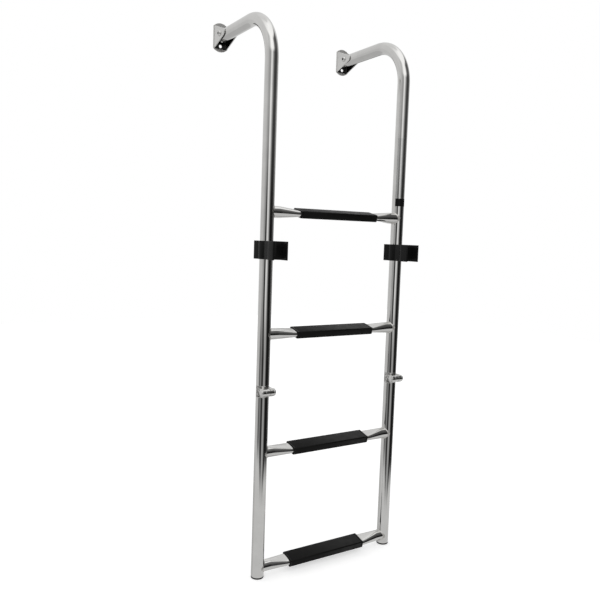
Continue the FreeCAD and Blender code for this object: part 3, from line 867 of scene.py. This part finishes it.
def casting(name, source, body, keep_low, keep_high, x, knuckle, half):
    """A soft-edged casting from the CAD solid: its spigot is left off, because it sits
    inside the tube, and the rest is remeshed, smoothed and made truly round again."""
    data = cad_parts[source].data.copy()
    obj = new_object(name, data)
    mesh = bmesh.new()
    mesh.from_mesh(data)
    bmesh.ops.remove_doubles(mesh, verts=mesh.verts, dist=1e-6)
    for height, normal in ((keep_low, (0, 0, -1)), (keep_high, (0, 0, 1))):
        cut = bmesh.ops.bisect_plane(
            mesh, geom=mesh.verts[:] + mesh.edges[:] + mesh.faces[:],
            plane_co=(0, 0, height * MM), plane_no=normal, clear_outer=True)
        edges = [e for e in cut["geom_cut"] if isinstance(e, bmesh.types.BMEdge)]
        bmesh.ops.holes_fill(mesh, edges=edges)
    mesh.to_mesh(data)
    mesh.free()
    remesh = obj.modifiers.new("voxels", "REMESH")
    remesh.mode = "VOXEL"
    remesh.voxel_size = 0.32 * MM
    smooth = obj.modifiers.new("soften", "SMOOTH")
    smooth.factor = 0.5
    smooth.iterations = 12
    made = evaluated_mesh(obj)
    obj.modifiers.clear()
    obj.data = made
    bpy.data.meshes.remove(data)
    for point in made.vertices:
        true_round(point, x, knuckle, half)
    finish_piece(obj, CAST, body, source, sharp=60.0)


for side, x in SIDES.items():
    past_fold = 9.0
    casting(side + "_upper_knuckle", side + "_upper_hinge", "upper_section",
            FOLD_Z - past_fold, FOLD_Z + COLLAR, x, KNUCKLE_R, KNUCKLE_HALF)
    casting(side + "_lower_knuckle", side + "_lower_hinge", "lower_section",
            FOLD_Z - COLLAR, FOLD_Z + past_fold, x, TONGUE_R, TONGUE_HALF)


# ---------------------------------------------------------------- stage
def world_light():
    """A studio for the reflections, plain soft light for the rest, and white for the
    camera."""
    world = bpy.data.worlds.new("studio")
    bpy.context.scene.world = world
    world.use_nodes = True
    tree = world.node_tree
    tree.nodes.clear()
    out = node(tree, "ShaderNodeOutputWorld")
    sx, sy, sz = split_xyz(tree, node(tree, "ShaderNodeTexCoord").outputs["Generated"])

    # Azimuth of a direction from the studio's back axis, 0 to 1 over -180 to 180
    # degrees. Its height is a sine.
    front = math.radians(31.75)
    right = (math.cos(front), -math.sin(front))
    back = (-math.sin(front), -math.cos(front))
    along_right = sums(tree, "ADD", sums(tree, "MULTIPLY", sx, right[0]),
                       sums(tree, "MULTIPLY", sy, right[1]))
    along_back = sums(tree, "ADD", sums(tree, "MULTIPLY", sx, back[0]),
                      sums(tree, "MULTIPLY", sy, back[1]))
    turn = sums(tree, "ARCTAN2", along_right, along_back)
    share = sums(tree, "ADD", sums(tree, "DIVIDE", turn, 2 * math.pi), 0.5)

    def bands(stops):
        return ramp(tree, share, [((angle + 180) / 360, value) for angle, value in stops])

    def blend(height, low, high, under, over):
        return mix(tree, smoothstep(tree, height, low, high), under, over)

    # Large pale flats to the left, a bright strip light, a dark flag and a dim fill,
    # as seen from below upward.
    floor_light = bands([(-180, 0.52), (-110, 0.52), (-80, 0.64), (179, 0.64)])
    below_eye = bands([
        (-180, 0.64), (-84, 0.6), (-68, 0.46), (-61, 0.07), (-53, 0.08), (-44, 0.26),
        (-26, 0.22), (-16, 0.03), (4, 0.03), (14, 0.36), (30, 0.44), (44, 0.2),
        (56, 0.01), (102, 0.01), (122, 0.12), (179, 0.3)])
    at_eye = bands([
        (-180, 0.66), (-100, 0.62), (-70, 0.6), (-40, 0.38), (-27, 0.24), (-21, 0.02),
        (-6, 0.02), (2, 0.7), (10, 0.9), (22, 0.7), (32, 0.45), (42, 0.12), (54, 0.01),
        (92, 0.01), (112, 0.1), (179, 0.3)])
    above_eye = bands([
        (-180, 0.75), (-100, 0.68), (-58, 0.62), (-36, 0.45), (-22, 0.4), (-10, 0.4),
        (2, 0.95), (14, 1.0), (28, 0.5), (42, 0.26), (54, 0.07), (92, 0.05), (112, 0.2),
        (135, 0.5), (179, 0.6)])
    high_up = bands([
        (-180, 0.74), (-100, 0.7), (-60, 0.72), (-45, 0.62), (-32, 0.6), (-14, 0.95),
        (0, 1.25), (30, 1.2), (45, 0.85), (57, 0.2), (84, 0.1), (112, 0.12),
        (126, 0.45), (142, 0.75), (179, 0.8)])
    ceiling = bands([
        (-180, 0.8), (-110, 0.76), (-66, 1.05), (-20, 1.2), (100, 1.15), (145, 1.05),
        (165, 0.84), (179, 0.8)])
    # The floor's light starts lower on the side of the strip light.
    dip = bands([(-180, 0.0), (-30, 0.0), (8, 1.0), (52, 1.0), (80, 0.35), (110, 0.5),
                 (179, 0.0)])
    floor_edge = sums(tree, "ADD", sz, sums(tree, "MULTIPLY", dip, 0.05))
    glossy = blend(sz, -0.19, -0.08, below_eye, at_eye)
    glossy = blend(sz, 0.0, 0.22, glossy, above_eye)
    glossy = blend(sz, 0.38, 0.54, glossy, high_up)
    glossy = blend(sz, 0.74, 0.86, glossy, ceiling)
    glossy = blend(floor_edge, -0.345, -0.3, floor_light, glossy)

    def background(strength=1.0):
        made = node(tree, "ShaderNodeBackground", Strength=strength)
        made.inputs["Color"].default_value = (1.0, 1.0, 1.0, 1.0)
        return made

    def choose(ray, otherwise, chosen):
        made = node(tree, "ShaderNodeMixShader")
        tree.links.new(rays.outputs[ray], made.inputs[0])
        tree.links.new(otherwise.outputs[0], made.inputs[1])
        tree.links.new(chosen.outputs[0], made.inputs[2])
        return made

    reflected, soft, white = background(), background(0.75), background()
    tree.links.new(glossy, reflected.inputs["Color"])
    rays = node(tree, "ShaderNodeLightPath")
    lighting = choose("Is Glossy Ray", soft, reflected)
    surface = choose("Is Camera Ray", lighting, white)
    tree.links.new(surface.outputs[0], out.inputs["Surface"])


world_light()

# Floor: pale, white to the camera apart from the object's soft shadow.
near, far = -3000.0, 3500.0
floor = mesh_object("floor", [(near, near, FOOT_Z), (far, near, FOOT_Z),
                              (far, far, FOOT_Z), (near, far, FOOT_Z)], [(0, 1, 2, 3)])
floor_mat, floor_tree, floor_shader = new_material("pale_floor")
floor_shader.inputs["Base Color"].default_value = (0.8, 0.8, 0.8, 1)
floor_shader.inputs["Roughness"].default_value = 0.9
floor_shader.inputs["Specular IOR Level"].default_value = 0.0
lit = node(floor_tree, "ShaderNodeEmission", Strength=0.5)
seen = node(floor_tree, "ShaderNodeLightPath")
both = node(floor_tree, "ShaderNodeAddShader")
pick = node(floor_tree, "ShaderNodeMixShader")
floor_tree.links.new(floor_shader.outputs[0], both.inputs[0])
floor_tree.links.new(lit.outputs[0], both.inputs[1])
floor_tree.links.new(seen.outputs["Is Camera Ray"], pick.inputs[0])
floor_tree.links.new(floor_shader.outputs[0], pick.inputs[1])
floor_tree.links.new(both.outputs[0], pick.inputs[2])
floor_tree.links.new(pick.outputs[0], floor_tree.nodes["Material Output"].inputs["Surface"])
floor.data.materials.append(floor_mat)
floor.visible_glossy = False


# ---------------------------------------------------------------- camera
def make_camera():
    """The photo's own view, from a fit to its edges."""
    data = bpy.data.cameras.new("camera")
    data.sensor_width = 36.0
    data.lens = 39.18
    data.clip_start = 0.05
    data.clip_end = 50.0
    camera = new_object("camera", data)
    azimuth, pitch, roll = 0.554900, 0.0966422, 0.0333977
    base = Matrix(((math.cos(azimuth), -math.sin(azimuth), 0), (0, 0, -1),
                   (math.sin(azimuth), math.cos(azimuth), 0)))
    tip = Matrix(((1, 0, 0), (0, math.cos(pitch), -math.sin(pitch)),
                  (0, math.sin(pitch), math.cos(pitch))))
    lean = Matrix(((math.cos(roll), -math.sin(roll), 0),
                   (math.sin(roll), math.cos(roll), 0), (0, 0, 1)))
    look = lean @ tip @ base
    turn = Matrix((look[0], -look[1], -look[2])).transposed()
    camera.matrix_world = turn.to_4x4()
    camera.location = Vector((-584.5, -1293.3, -406.35)) * MM
    bpy.context.scene.camera = camera


make_camera()
bpy.context.scene.view_settings.view_transform = "Standard"
